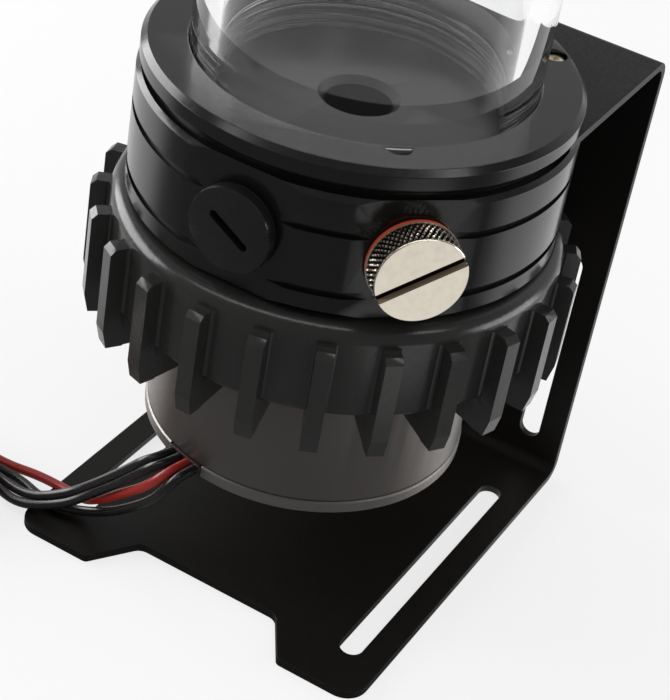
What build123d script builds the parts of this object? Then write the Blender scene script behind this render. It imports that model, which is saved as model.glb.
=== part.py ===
from build123d import *
import os
from math import cos, pi, radians, sin, tan

# A pump and tube reservoir for liquid cooling, on a folded sheet bracket. Millimetres.
# The origin lies on the pump's axis, on the underside of the bracket's base.
# +X runs along the base's front edge, +Y points at the bracket's upright and +Z is up.
# Angles are degrees about +Z, counted from +X.

# Clearances
seat_gap = 0.1            # round pieces that stay put in each other
turn_gap = 0.3            # round pieces that turn past each other
thread_play = 0.08        # plug thread in its port, radial
pivot_play = 0.06         # bearing cup on its ball, radial
float_gap = 0.6           # rotor in the bowl, impeller under the roof
overshoot = 1.0           # how far a cut runs past the face it opens
find_near = 0.05          # how close an edge lies to where it is looked for

# Folded bracket
sheet = 1.6
bracket_inset = 0.5       # bracket's sides inside the lock ring's edge
bracket_height = 97.7     # underside of the base to the top of the top plate
base_front = 37.8         # pump axis to the front edge of the base
upright_gap = 1.2         # between the nut's fins and the upright
bend_radius = 2.2         # inside the two folds
corner_radius = 4.5
notch_depth = 9.6         # recess in the base's front edge
notch_inset = 16.4        # notch mouth inside the bracket's sides
notch_slope = 6.1
notch_floor_radius = 2.5
notch_mouth_radius = 1.2
slot_width = 4.4
slot_inset = 7.3          # slot middles inside the bracket's sides
base_slot_front = 28.5    # slot end in front of the pump axis
base_slot_back = 32.5     # slot end behind it
upright_slot_low = 7.5
upright_slot_high = 52.0
plate_shoulder = 4.2      # where the top plate's straight sides end, behind the axis
plate_nose = 6.0          # round front end of the top plate, outside the tube

# Clear tube
tube_radius = 30.0
tube_wall = 5.0
tube_length = 150.0
tube_edge = 0.5

# Lock ring on the tube's thread
ring_reach = 8.0          # outside the tube
ring_height = 3.4
ring_edge = 1.05
ring_lead_in = 1.0
ring_notch_angles = (-50.8, 129.2)
ring_notch_radius = 2.3
screw_angles = (45.9, 134.1)
screw_reach = 4.5         # screw circle outside the tube
screw_head_radius = 1.75
screw_head_height = 1.3
screw_pocket_radius = 2.15
screw_pocket_depth = 1.9
screw_radius = 1.15
screw_length = 8.5

# Motor can
can_radius = 29.8
can_wall = 1.2
can_height = 30.95        # above the cover, up to its flange
flange_reach = 3.7
flange_height = 2.7
flange_play = 1.2         # flange in the nut's thread
cover_height = 2.5        # band that shows below the can
cover_proud = 0.3
cover_floor = 1.2
cover_register = 2.0      # how far the cover reaches up into the can
lead_angle = -105.6       # where the leads come out
grommet_width = 8.4
grommet_depth = 6.0
grommet_lip = 0.1
grommet_corner = 0.5

# Pump top
body_step = 3.9           # body outside its threaded spigot
body_height = 22.4
body_edge = 0.8
land_height = 0.7         # raised round seat under the bracket's top plate
spigot_length = 11.3
spigot_edge = 0.8
groove_heights = (6.7, 18.1)   # below the body's top
groove_width = 1.3
groove_depth = 0.9
flat_depth = 1.4
front_angle = -90.0
side_angle = -45.0
port_drop = 11.1          # port axis below the body's top
port_radius = 6.58
port_depth = 5.9
port_throat = 4.5
floor_drop = 1.2          # reservoir floor below the body's top
intake_radius = 6.0
intake_edge = 1.2
socket_depth = 5.4        # tube socket below the body's top
chamber_radius = 22.5
chamber_height = 17.3     # above the spigot's end
riser_width = 7.5         # water way from the chamber up to both ports
riser_span = (-112.0, -23.0)
riser_low = 9.0           # above the spigot's end
riser_roof = 6.6          # below the body's top

# Seals, as wire sections
seal_section = 1.6
flange_seal_section = 2.0

# Union nut
nut_wall = 5.8
nut_lip = 3.5             # under the motor's flange
nut_lip_play = 0.5        # round the can
nut_top_gap = 0.7         # below the pump top
nut_shoulder = 2.9
nut_skirt_edge = 1.0
fin_count = 24
fin_angle = -47.4
fin_reach = 3.5
fin_thickness = 2.6
fin_drop = 3.0            # fin top below the nut's top
fin_tail = 6.0            # fin foot below the nut's skirt
fin_foot_width = 2.2
fin_top_edge = 1.0
fin_foot_cut = (1.7, 3.5)
fin_root = 0.8

# Wet end of the motor
stator_room = 9.1         # between the bowl and the can's wall
bowl_sheet = 0.5
ball_radius = 4.0
post_radius = 2.5
bearing_radius = 7.9
bearing_low = 3.5         # cup below the ball's middle
bearing_high = 4.8
magnet_low = 15.0
magnet_high = 1.6
disc_height = 2.0
hub_height = 4.0
hub_wall = 1.8
vane_count = 6
vane_thickness = 1.4
vane_sweep = 50.0
impeller_play = 2.0       # round the impeller

# Dry end of the motor
core_low = 21.0           # stator below the rotor's middle
core_high = 8.0
core_yoke = 4.4
tooth_count = 6
tooth_width = 6.0
tooth_gap = 0.8
winding_build = 2.4
winding_corner = 1.9
board_height = 1.6
board_play = 0.4
board_post_radius = 2.0
board_post_count = 3
first_post_angle = 90.0
board_lift = 5.0          # above the cover's underside
chip_height = 2.0
chip_size = 7.0
chip_circle = 14.0
chip_count = 3
chip_corner = 0.7
first_chip_angle = 30.0

# Plugs
plug_length = 5.0
front_head_radius = 7.6
front_head_height = 2.1
front_seal_height = 0.7
front_slot = (8.0, 1.3, 1.0)   # length, width, depth
front_slot_turn = -31.0
coin_head_radius = 7.95
coin_head_height = 5.1
coin_seal_height = 1.0
coin_slot = (1.9, 2.2)         # width, depth
coin_slot_turn = 27.5
plug_edge = 0.5
seal_recess = 0.15             # coin plug's seal inside its head's rim
front_seal_recess = 0.3

# Top cap
cap_wall = 4.0            # outside the tube
cap_skirt = 11.5          # down over the tube
cap_top = 9.5
cap_edge = 0.8
cap_groove_drop = 5.0     # below the cap's top
collar_groove_drop = 4.5  # below the collar's top
cap_port_spread = 26.0
cap_screw_count = 4
cap_screw_angle = 45.0
cap_screw_radius = 0.8
cap_screw_length = 11.0
cap_screw_wall = 1.5      # screw middles outside the collar's bore
cap_head_radius = 1.35
cap_head_height = 1.2
cap_pocket_depth = 1.5

# Leads
lead_radius = 0.95
lead_pitch = 2.05         # side by side in the grommet
lead_rise = 1.35          # leads above the cover's underside
lead_straight = 3.0       # first run, straight out of the grommet
arc_share = 0.45          # share of the shorter run that an arc may take up
coil_middle = (-68.0, -40.0)
coil_radii = {"red": 14.0, "black_c": 12.0, "black_a": 10.0, "black_b": 8.0}
coil_turns = 5.25
coil_pitch = 1.95         # from turn to turn, upwards
coil_base = 0.7
coil_margin = 1.0
coil_entry = 15.5         # straight leads beside the coil, before the first turn
coil_exit = 15.5          # straight leads above the coil, after the last turn
entry_run = 5.0           # last straight run before the coil
tail_run = 4.5            # straight runs at both ends of a tail
tail_hump = 1.0           # how far a tail stands above a straight line
tie_angle = -40.0
tie_width = 3.0
tie_sheet = 0.6

# Lead connectors, lying beside the coil
connector_face = -72.0
power_size = (12.0, 15.0, 7.0)
power_middle = -83.5
power_pin = 4.0
signal_size = (8.0, 12.0, 6.0)
signal_middle = -73.0
signal_pin = 2.6
connector_edge = 0.8
socket_wall = 1.2
connector_socket_depth = 6.0

# Heights of the stack, from the top plate down
plate_under = bracket_height - sheet
body_top = plate_under - land_height
body_bottom = body_top - body_height
spigot_end = body_bottom - spigot_length
flange_top = spigot_end - bowl_sheet
flange_under = flange_top - flange_height
cover_top = flange_under - can_height
cover_under = cover_top - cover_height
nut_top = body_bottom - nut_top_gap
nut_skirt_low = flange_under - nut_lip
ring_top = bracket_height + ring_height
reservoir_floor = body_top - floor_drop
socket_floor = body_top - socket_depth
tube_low = socket_floor + seal_section
tube_high = tube_low + tube_length
cap_high = tube_high + cap_top
port_height = body_top - port_drop
chamber_roof = spigot_end + chamber_height

# Radii that follow from the can and the tube
can_inner = can_radius - can_wall
bowl_radius = can_inner - stator_room
flange_radius = can_radius + flange_reach
nut_bore = flange_radius + flange_play
spigot_radius = nut_bore - turn_gap
body_radius = spigot_radius + body_step
skirt_radius = nut_bore + nut_wall
fin_radius = skirt_radius + fin_reach
flat_distance = body_radius - flat_depth
tube_inner = tube_radius - tube_wall
ring_radius = tube_radius + ring_reach
nose_radius = tube_radius + plate_nose
bracket_width = 2 * (ring_radius - bracket_inset)
notch_width = bracket_width - 2 * notch_inset
slot_spread = bracket_width - 2 * slot_inset
screw_circle = tube_radius + screw_reach
upright_back = fin_radius + upright_gap + sheet
cap_radius = tube_radius + cap_wall


def turned(*profile):
    """Solid of revolution about Z, from pairs of radius and height."""
    outline = Wire.make_polygon([(radius, 0, height) for radius, height in profile], close=True)
    return revolve(Face(outline), Axis.Z)


def rod(radius, low, high):
    return turned((0, low), (radius, low), (radius, high), (0, high))


def hoop(inner, outer, low, high):
    return turned((inner, low), (outer, low), (outer, high), (inner, high))


def o_ring(middle_radius, section, height):
    """Round seal whose section stands on a height."""
    return Pos(0, 0, height + section / 2) * Torus(middle_radius, section / 2)


def facing(angle, height, distance=0.0):
    """Place at a distance from the pump axis, with Z pointing away from it and Y up."""
    across = (-sin(radians(angle)), cos(radians(angle)), 0)
    away = (cos(radians(angle)), sin(radians(angle)), 0)
    return Plane(origin=(0, 0, height), x_dir=across, z_dir=away).location * Pos(0, 0, distance)


def around(angle, radius, height=0.0):
    return Rot(0, 0, angle) * Pos(radius, 0, height)


def standing_edges(solid, half_spread, depth, top):
    """Vertical edges at both sides of X = 0, at one depth, below a height."""
    def wanted(edge):
        middle = edge.center()
        beside = abs(abs(middle.X) - half_spread) < find_near
        return beside and abs(middle.Y - depth) < find_near and middle.Z < top

    return solid.edges().filter_by(Axis.Z).filter_by(wanted)


def make_bracket():
    front = (-base_front, 0)
    nose = (-nose_radius, bracket_height)
    nose_under = (-nose_radius, plate_under)
    front_over = (-base_front, sheet)
    inside = upright_back - sheet
    outer = FilletPolyline(front, (upright_back, 0), (upright_back, bracket_height), nose,
                           radius=bend_radius + sheet)
    inner = FilletPolyline(nose_under, (inside, plate_under), (inside, sheet), front_over,
                           radius=bend_radius)
    section = make_face(outer + Line(nose, nose_under) + inner + Line(front_over, front))
    solid = extrude(Plane.YZ * section, amount=bracket_width / 2, both=True)

    # Top plate: round front end, hole for the tube, screw holes
    plate_middle = bracket_height - sheet / 2
    waste_depth = nose_radius + plate_shoulder + sheet
    waste = Pos(0, plate_shoulder - waste_depth / 2, plate_middle) * Box(
        bracket_width + 2 * sheet, waste_depth, 2 * sheet)
    solid -= waste - rod(nose_radius, plate_under - sheet, bracket_height + sheet)
    solid -= rod(tube_radius + turn_gap, plate_under - sheet, bracket_height + sheet)
    screw_hole = rod(screw_radius + turn_gap, plate_under - sheet, bracket_height + sheet)
    for angle in screw_angles:
        solid -= around(angle, screw_circle) * screw_hole

    # Base: notch in the front edge, rounded corners
    half_mouth = notch_width / 2
    half_floor = half_mouth - notch_slope
    floor_line = notch_depth - base_front
    past = notch_depth / 10
    past_x = half_mouth + notch_slope / 10
    notch = Polygon((-past_x, -base_front - past), (past_x, -base_front - past),
                    (half_floor, floor_line), (-half_floor, floor_line), align=None)
    solid -= extrude(Pos(0, 0, -sheet) * notch, amount=3 * sheet)
    solid = fillet(standing_edges(solid, half_floor, floor_line, sheet), notch_floor_radius)
    solid = fillet(standing_edges(solid, half_mouth, -base_front, sheet), notch_mouth_radius)
    solid = fillet(standing_edges(solid, bracket_width / 2, -base_front, sheet), corner_radius)

    # Mounting slots in the base and in the upright
    base_slot = SlotOverall(base_slot_front + base_slot_back, slot_width, rotation=90)
    upright_slot = SlotOverall(upright_slot_high - upright_slot_low, slot_width, rotation=90)
    for side in (-1, 1):
        x = side * slot_spread / 2
        y = (base_slot_back - base_slot_front) / 2
        solid -= extrude(Pos(x, y, -sheet) * base_slot, amount=3 * sheet)
        z = (upright_slot_low + upright_slot_high) / 2
        place = Plane(origin=(x, upright_back + sheet, z), x_dir=(1, 0, 0), z_dir=(0, -1, 0))
        solid -= extrude(place * upright_slot, amount=3 * sheet)
    return solid


def make_lock_ring():
    bore = tube_radius + seat_gap
    solid = turned((bore, bracket_height), (ring_radius, bracket_height),
                   (ring_radius, ring_top - ring_edge), (ring_radius - ring_edge, ring_top),
                   (bore + ring_lead_in, ring_top), (bore, ring_top - ring_lead_in))
    for angle in ring_notch_angles:
        solid -= around(angle, bore + ring_lead_in / 2) * rod(
            ring_notch_radius, bracket_height - overshoot, ring_top + overshoot)
    for angle in screw_angles:
        pocket = rod(screw_pocket_radius, ring_top - screw_pocket_depth, ring_top + overshoot)
        hole = rod(screw_radius + seat_gap, bracket_height - overshoot, ring_top)
        solid -= around(angle, screw_circle) * pocket
        solid -= around(angle, screw_circle) * hole
    return solid


def make_ring_screws():
    seat = ring_top - screw_pocket_depth
    screw = rod(screw_head_radius, seat, seat + screw_head_height)
    screw += rod(screw_radius, seat - screw_length, seat)
    return Compound([(around(angle, screw_circle) * screw).solid() for angle in screw_angles])


def make_tube():
    edge = tube_radius - tube_edge
    return turned((tube_inner, tube_low), (edge, tube_low), (tube_radius, tube_low + tube_edge),
                  (tube_radius, tube_high - tube_edge), (edge, tube_high), (tube_inner, tube_high))


def seal_groove(middle_radius, section, height):
    """Square groove for a round seal, seat_gap larger than its section all round."""
    half = section / 2 + seat_gap
    return hoop(middle_radius - half, middle_radius + half, height, height + section + seat_gap)


def body_groove(radius, height):
    half = groove_width / 2
    return hoop(radius - groove_depth, radius + groove_depth, height - half, height + half)


def make_pump_top():
    solid = turned((0, spigot_end), (spigot_radius - spigot_edge, spigot_end),
                   (spigot_radius, spigot_end + spigot_edge), (spigot_radius, body_bottom),
                   (body_radius - body_edge, body_bottom), (body_radius, body_bottom + body_edge),
                   (body_radius, body_top - body_edge), (body_radius - body_edge, body_top),
                   (nose_radius, body_top), (nose_radius, plate_under), (0, plate_under))
    for drop in groove_heights:
        solid -= body_groove(body_radius, body_top - drop)
    for angle in (front_angle, side_angle):
        milled = Box(2 * body_radius, 2 * body_height + spigot_length, 2 * flat_depth,
                     align=(Align.CENTER, Align.CENTER, Align.MIN))
        solid -= facing(angle, body_top, flat_distance) * milled

    # Socket for the tube round the reservoir's floor
    solid -= rod(tube_radius + seat_gap, reservoir_floor, plate_under + overshoot)
    solid -= hoop(tube_inner - seat_gap, tube_radius + seat_gap, socket_floor, plate_under)

    # Impeller chamber, intake and the water way to the ports
    solid -= rod(chamber_radius, spigot_end - overshoot, chamber_roof)
    solid -= turned((0, chamber_roof - overshoot), (intake_radius, chamber_roof - overshoot),
                    (intake_radius, reservoir_floor - intake_edge),
                    (intake_radius + intake_edge, reservoir_floor), (0, reservoir_floor))
    riser_outer = tube_inner - intake_edge
    riser_face = Face(Wire.make_polygon([
        (riser_outer - riser_width, 0, spigot_end + riser_low), (riser_outer, 0, spigot_end + riser_low),
        (riser_outer, 0, body_top - riser_roof), (riser_outer - riser_width, 0, body_top - riser_roof)],
        close=True))
    solid -= Rot(0, 0, riser_span[0]) * revolve(riser_face, Axis.Z, riser_span[1] - riser_span[0])
    throat_length = flat_distance - riser_outer + riser_width / 2
    for angle in (front_angle, side_angle):
        port = rod(port_radius, -port_depth, overshoot) + rod(port_throat, -throat_length, -port_depth)
        solid -= facing(angle, port_height, flat_distance) * Rot(0, 0, 90) * port

    # Seal groove in the spigot's end and holes for the ring's screws
    solid -= seal_groove((chamber_radius + spigot_radius) / 2, flange_seal_section, spigot_end)
    screw_end = ring_top - screw_pocket_depth - screw_length
    screw_hole = rod(screw_radius + seat_gap, screw_end - seat_gap, plate_under + overshoot)
    for angle in screw_angles:
        solid -= around(angle, screw_circle) * screw_hole
    return solid


def make_front_plug():
    """Moulded plug with a blind slot. Z points out of the port, zero at the milled flat."""
    low = front_seal_height
    high = low + front_head_height
    shank = port_radius - thread_play
    solid = turned((0, -plug_length), (shank - plug_edge, -plug_length), (shank, plug_edge - plug_length),
                   (shank, low), (front_head_radius, low), (front_head_radius, high - plug_edge),
                   (front_head_radius - plug_edge, high), (0, high))
    length, width, depth = front_slot
    slot = SlotOverall(length, width, rotation=front_slot_turn)
    return solid - extrude(Pos(0, 0, high - depth) * slot, amount=2 * depth)


def make_coin_plug():
    """Plated plug with a coin slot. Z points out of the port, zero at its seat."""
    low = coin_seal_height
    high = low + coin_head_height
    shank = port_radius - thread_play
    solid = turned((0, -plug_length), (shank - plug_edge, -plug_length), (shank, plug_edge - plug_length),
                   (shank, low), (coin_head_radius - plug_edge, low), (coin_head_radius, low + plug_edge),
                   (coin_head_radius, high - plug_edge), (coin_head_radius - plug_edge, high), (0, high))
    width, depth = coin_slot
    slot = Pos(0, 0, high) * Rot(0, 0, coin_slot_turn) * Box(3 * coin_head_radius, width, 2 * depth)
    return solid - slot


def make_plug_seal(outer, height):
    """Squeezed seal under a plug's head, round on its outer side."""
    bulge = height / 3
    return turned((port_radius + seat_gap, 0), (outer - bulge, 0), (outer, bulge), (outer, height - bulge),
                  (outer - bulge, height), (port_radius + seat_gap, height))


def make_fin():
    """One gusset of the nut: a blade in the XZ plane with a sloped foot and rounded roots."""
    top = nut_top - fin_drop
    foot = nut_skirt_low - fin_tail
    root = skirt_radius - nut_wall / 2
    cut_x, cut_z = fin_foot_cut
    profile = Wire.make_polygon([
        (root, 0, top), (fin_radius - fin_top_edge, 0, top), (fin_radius, 0, top - fin_top_edge),
        (fin_radius, 0, foot + cut_z), (fin_radius - cut_x, 0, foot),
        (fin_radius - cut_x - fin_foot_width, 0, foot), (skirt_radius - nut_skirt_edge, 0, nut_skirt_low),
        (root, 0, nut_skirt_low + nut_skirt_edge)], close=True)
    half = fin_thickness / 2
    blade = extrude(Face(profile), amount=half, both=True)
    wide = half + fin_root
    meet = (skirt_radius ** 2 - wide ** 2) ** 0.5
    near = fin_root * cos(radians(45))
    flare = Line((root, -wide), (meet, -wide))
    flare += ThreePointArc((meet, -wide), (meet + fin_root - near, near - wide), (meet + fin_root, -half))
    flare += Line((meet + fin_root, -half), (meet + fin_root, half))
    flare += ThreePointArc((meet + fin_root, half), (meet + fin_root - near, wide - near), (meet, wide))
    flare += Line((meet, wide), (root, wide)) + Line((root, wide), (root, -wide))
    low = nut_skirt_low + nut_skirt_edge
    return blade + extrude(Pos(0, 0, low) * make_face(flare), amount=top - low)


def make_union_nut():
    lip_bore = can_radius + nut_lip_play
    solid = turned((nut_bore, nut_top), (skirt_radius, nut_top), (skirt_radius, nut_skirt_low),
                   (lip_bore, nut_skirt_low), (lip_bore, flange_under), (nut_bore, flange_under))
    outer_edges = solid.edges().filter_by(GeomType.CIRCLE).group_by(SortBy.RADIUS)[-1].sort_by(Axis.Z)
    solid = fillet(outer_edges[-1], nut_shoulder)
    outer_edges = solid.edges().filter_by(GeomType.CIRCLE).group_by(SortBy.RADIUS)[-1].sort_by(Axis.Z)
    solid = fillet(outer_edges[0], nut_skirt_edge)
    fin = make_fin()
    step = 360 / fin_count
    return solid.fuse(*[Rot(0, 0, fin_angle + number * step) * fin for number in range(fin_count)])


def make_motor_can():
    return turned((can_inner, cover_top), (can_radius, cover_top), (can_radius, flange_under),
                  (flange_radius, flange_under), (flange_radius, flange_top), (can_inner, flange_top))


def lead_notch(width, inner, outer, low, high):
    """Block that points away from the pump axis at the leads."""
    size = Box(width, high - low, outer - inner, align=(Align.CENTER, Align.MIN, Align.MIN))
    return facing(lead_angle, low, inner) * size


def make_motor_cover():
    rim = can_radius + cover_proud
    register = can_inner - seat_gap
    register_inner = register - can_wall
    solid = turned((0, cover_under), (rim - cover_proud, cover_under), (rim, cover_under + cover_proud),
                   (rim, cover_top - cover_proud), (rim - cover_proud, cover_top), (register, cover_top),
                   (register, cover_top + cover_register), (register_inner, cover_top + cover_register),
                   (register_inner, cover_under + cover_floor), (0, cover_under + cover_floor))
    for number in range(board_post_count):
        post = rod(board_post_radius, cover_under, cover_under + board_lift)
        angle = first_post_angle + number * 360 / board_post_count
        solid += around(angle, register_inner - 2 * board_post_radius) * post
    notch_inner = rim - grommet_depth
    notch_outer = rim + cover_proud
    return solid - lead_notch(grommet_width, notch_inner, notch_outer, cover_under - overshoot, cover_top)


def grommet_face():
    return can_radius + cover_proud + grommet_lip


def make_grommet():
    inner = can_radius + cover_proud - grommet_depth + seat_gap
    solid = lead_notch(grommet_width - 2 * seat_gap, inner, grommet_face(), cover_under + seat_gap,
                       cover_top - seat_gap)
    along = Vector(cos(radians(lead_angle)), sin(radians(lead_angle)), 0)
    return fillet(solid.edges().filter_by(Axis((0, 0, 0), tuple(along))), grommet_corner)


def make_bowl():
    """Thin spherical bowl with a flat rim between the can's flange and the pump top."""
    middle = spigot_end
    ball = Pos(0, 0, middle) * (Sphere(bowl_radius + bowl_sheet) - Sphere(bowl_radius))
    half = ball & rod(2 * bowl_radius, middle - 2 * bowl_radius, middle)
    return half + hoop(bowl_radius + bowl_sheet / 2, flange_radius - seat_gap, flange_top, spigot_end)


def make_post():
    foot = spigot_end - (bowl_radius ** 2 - post_radius ** 2) ** 0.5
    column = rod(post_radius, foot, spigot_end - ball_radius / 2)
    return column - Pos(0, 0, spigot_end) * Sphere(ball_radius)


def make_ball():
    return Pos(0, 0, spigot_end) * Sphere(ball_radius)


def make_bearing_cup():
    socket = ball_radius + pivot_play
    solid = rod(bearing_radius, spigot_end - bearing_low, spigot_end + bearing_high)
    solid -= Pos(0, 0, spigot_end) * Sphere(socket)
    return solid - rod(socket, spigot_end - bearing_low - overshoot, spigot_end)


def make_rotor_magnet():
    middle = Pos(0, 0, spigot_end)
    blank = hoop(bearing_radius + seat_gap, bowl_radius, spigot_end - magnet_low, spigot_end + magnet_high)
    return blank & (middle * Sphere(bowl_radius - float_gap))


def make_impeller():
    disc_low = spigot_end + magnet_high
    disc_high = disc_low + disc_height
    outer = chamber_radius - impeller_play
    hub_radius = bearing_radius + hub_wall
    recess = bearing_radius + seat_gap
    solid = turned((0, spigot_end + bearing_high), (recess, spigot_end + bearing_high), (recess, disc_low),
                   (outer, disc_low), (outer, disc_high), (hub_radius, disc_high),
                   (recess, disc_high + hub_height), (0, disc_high + hub_height + disc_height))
    vane_root = hub_radius - hub_wall / 2
    middle_radius = (vane_root + outer) / 2
    bend = radians(vane_sweep)
    spine = ThreePointArc((vane_root, 0),
                          (middle_radius * cos(bend / 3), middle_radius * sin(bend / 3)),
                          (outer * cos(bend), outer * sin(bend)))
    vane_height = chamber_roof - float_gap - disc_low
    vane = extrude(Pos(0, 0, disc_low) * trace(spine, vane_thickness), amount=vane_height)
    vane &= rod(outer, disc_low, chamber_roof)
    return solid.fuse(*[Rot(0, 0, number * 360 / vane_count) * vane for number in range(vane_count)])


def tooth_inner():
    return bowl_radius + bowl_sheet + tooth_gap


def make_stator_core():
    low = spigot_end - core_low
    high = spigot_end - core_high
    yoke_outer = can_inner - seat_gap
    solid = hoop(yoke_outer - core_yoke, yoke_outer, low, high)
    length = yoke_outer - core_yoke / 2 - tooth_inner()
    tooth = Pos(tooth_inner() + length / 2, 0, (low + high) / 2) * Box(length, tooth_width, high - low)
    return solid.fuse(*[Rot(0, 0, number * 360 / tooth_count) * tooth for number in range(tooth_count)])


def make_windings():
    low = spigot_end - core_low
    high = spigot_end - core_high
    inner = tooth_inner() + turn_gap
    yoke_inner = can_inner - seat_gap - core_yoke
    half_width = tooth_width / 2 + winding_build
    outer = ((yoke_inner - turn_gap) ** 2 - half_width ** 2) ** 0.5
    middle = Pos((inner + outer) / 2, 0, (low + high) / 2)
    hole = Box(2 * outer, tooth_width + 2 * seat_gap, high - low + 2 * seat_gap)
    wound = Box(outer - inner, 2 * half_width, high - low + 2 * winding_build)
    wound = fillet(wound.edges().filter_by(Axis.X), winding_corner)
    coil = middle * (wound - hole)
    turns = [number * 360 / tooth_count for number in range(tooth_count)]
    return Compound([(Rot(0, 0, turn) * coil).solid() for turn in turns])


def make_board():
    low = cover_under + board_lift
    high = low + board_height
    solid = rod(can_inner - board_play, low, high)
    chip = fillet(Box(chip_size, chip_size, chip_height).edges().filter_by(Axis.Z), chip_corner)
    for number in range(chip_count):
        angle = first_chip_angle + number * 360 / chip_count
        solid += around(angle, chip_circle, high + chip_height / 2) * chip
    return solid


def cap_screw_places():
    """The cap's screws stand in the collar's wall."""
    circle = tube_radius + seat_gap + cap_screw_wall
    angles = [cap_screw_angle + number * 360 / cap_screw_count for number in range(cap_screw_count)]
    return [around(angle, circle) for angle in angles]


def make_cap():
    """Disc over the tube's end with two ports, for filling and for the inlet fitting."""
    solid = turned((0, tube_high), (cap_radius, tube_high), (cap_radius, cap_high - cap_edge),
                   (cap_radius - cap_edge, cap_high), (0, cap_high))
    solid -= body_groove(cap_radius, cap_high - cap_groove_drop)
    port = rod(port_radius, tube_high - overshoot, cap_high + overshoot)
    for side in (-1, 1):
        solid -= Pos(side * cap_port_spread / 2, 0, 0) * port
    pocket = rod(cap_head_radius + seat_gap, cap_high - cap_pocket_depth, cap_high + overshoot)
    hole = rod(cap_screw_radius + seat_gap, tube_high - overshoot, cap_high)
    for place in cap_screw_places():
        solid -= place * pocket
        solid -= place * hole
    return solid - seal_groove((tube_radius + tube_inner) / 2, seal_section, tube_high)


def make_collar():
    """Threaded ring on the tube's upper end that the cap is screwed to."""
    bore = tube_radius + seat_gap
    low = tube_high - cap_skirt
    solid = turned((bore, low), (cap_radius - cap_edge, low), (cap_radius, low + cap_edge),
                   (cap_radius, tube_high), (bore, tube_high))
    solid -= body_groove(cap_radius, tube_high - collar_groove_drop)
    screw_end = cap_high - cap_pocket_depth - cap_screw_length
    hole = rod(cap_screw_radius + seat_gap, screw_end - seat_gap, tube_high + overshoot)
    for place in cap_screw_places():
        solid -= place * hole
    return solid


def make_cap_screws():
    seat = cap_high - cap_pocket_depth
    screw = rod(cap_head_radius, seat, seat + cap_head_height)
    screw += rod(cap_screw_radius, seat - cap_screw_length, seat)
    return Compound([(place * screw).solid() for place in cap_screw_places()])


def lead_start(place):
    """Middle of a lead at the grommet's face, counted in steps along the face."""
    across = place * lead_pitch
    angle = radians(lead_angle)
    x = grommet_face() * cos(angle) - across * sin(angle)
    y = grommet_face() * sin(angle) + across * cos(angle)
    return (x, y, cover_under + lead_rise)


def tube_along(name, points):
    """Round lead along straight runs joined by the largest arcs that they allow."""
    runs = [Vector(b) - Vector(a) for a, b in zip(points, points[1:])]
    radii = []
    for before, after in zip(runs, runs[1:]):
        half_turn = radians(before.get_angle(after)) / 2
        radii.append(arc_share * min(before.length, after.length) / tan(half_turn))
    path = FilletPolyline(*points, radius=radii)
    section = Plane(origin=path @ 0, z_dir=path % 0) * Circle(lead_radius)
    solid = sweep(section, path=path)
    share = solid.volume / (pi * lead_radius ** 2 * path.length)
    print(name, "length", round(path.length, 1), "volume share", round(share, 4),
          "radii", [round(radius, 1) for radius in radii])
    return solid


coil_z = coil_base + lead_radius
coil_exit_z = coil_z + coil_turns * coil_pitch
entry_x = coil_middle[0] + coil_entry
exit_y = coil_middle[1] - coil_exit

# Each lead: its step along the grommet's face and the points of its route from there to the coil
lead_routes = {
    "black_a": (-1.5, [(-14.2, -32.9, 25.2), (-17.0, -32.6, 21.8), (-21.0, -31.7, 17.1), (-25.4, -30.8, 12.2),
                       (-29.6, -31.0, 8.2), (-33.4, -32.0, 5.8), (-37.4, -32.6, 3.9), (-42.0, -32.0, 2.6)]),
    "black_b": (-0.5, [(-12.1, -33.6, 25.3), (-15.4, -33.2, 21.6), (-19.8, -32.4, 16.2), (-24.7, -31.4, 11.0),
                       (-29.0, -32.2, 6.8), (-32.8, -33.4, 4.7), (-36.9, -34.4, 3.1), (-41.6, -34.2, 2.0)]),
    "red": (0.5, [(-9.7, -35.0, 24.5), (-13.0, -34.0, 20.2), (-18.8, -31.8, 14.2), (-24.7, -29.6, 8.0),
                  (-29.6, -27.3, 3.9), (-35.6, -25.9, 2.8), (-41.4, -25.6, 2.4)]),
    "black_c": (1.5, [(-7.2, -35.0, 24.4), (-10.4, -33.9, 18.8), (-15.9, -31.9, 12.6), (-22.2, -30.0, 6.6),
                      (-28.2, -29.6, 3.2), (-32.8, -30.9, 2.8), (-37.6, -30.8, 2.8), (-42.6, -28.8, 2.2)]),
}

# Each lead's end beyond the coil: across and height at the connector's face
lead_ends = {
    "black_a": (signal_middle - signal_pin / 2, signal_size[2] / 2),
    "black_b": (signal_middle + signal_pin / 2, signal_size[2] / 2),
    "red": (power_middle - power_pin / 2, power_size[2] / 2),
    "black_c": (power_middle + power_pin / 2, power_size[2] / 2),
}


def make_lead(name):
    place, middle = lead_routes[name]
    start = lead_start(place)
    out = (start[0] + lead_straight * cos(radians(lead_angle)),
           start[1] + lead_straight * sin(radians(lead_angle)), start[2])
    y = coil_middle[1] + coil_radii[name]
    points = [start, out] + middle + [(entry_x + entry_run, y, coil_z), (entry_x, y, coil_z)]
    return tube_along("lead_" + name, points)


def make_tail(name):
    x = coil_middle[0] - coil_radii[name]
    end_x, end_z = lead_ends[name]
    points = [(x, exit_y, coil_exit_z), (x, exit_y - tail_run, coil_exit_z),
              ((x + end_x) / 2, (exit_y + connector_face) / 2, (coil_exit_z + end_z) / 2 + tail_hump),
              (end_x, connector_face + tail_run, end_z), (end_x, connector_face, end_z)]
    return tube_along("tail_" + name, points)


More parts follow.
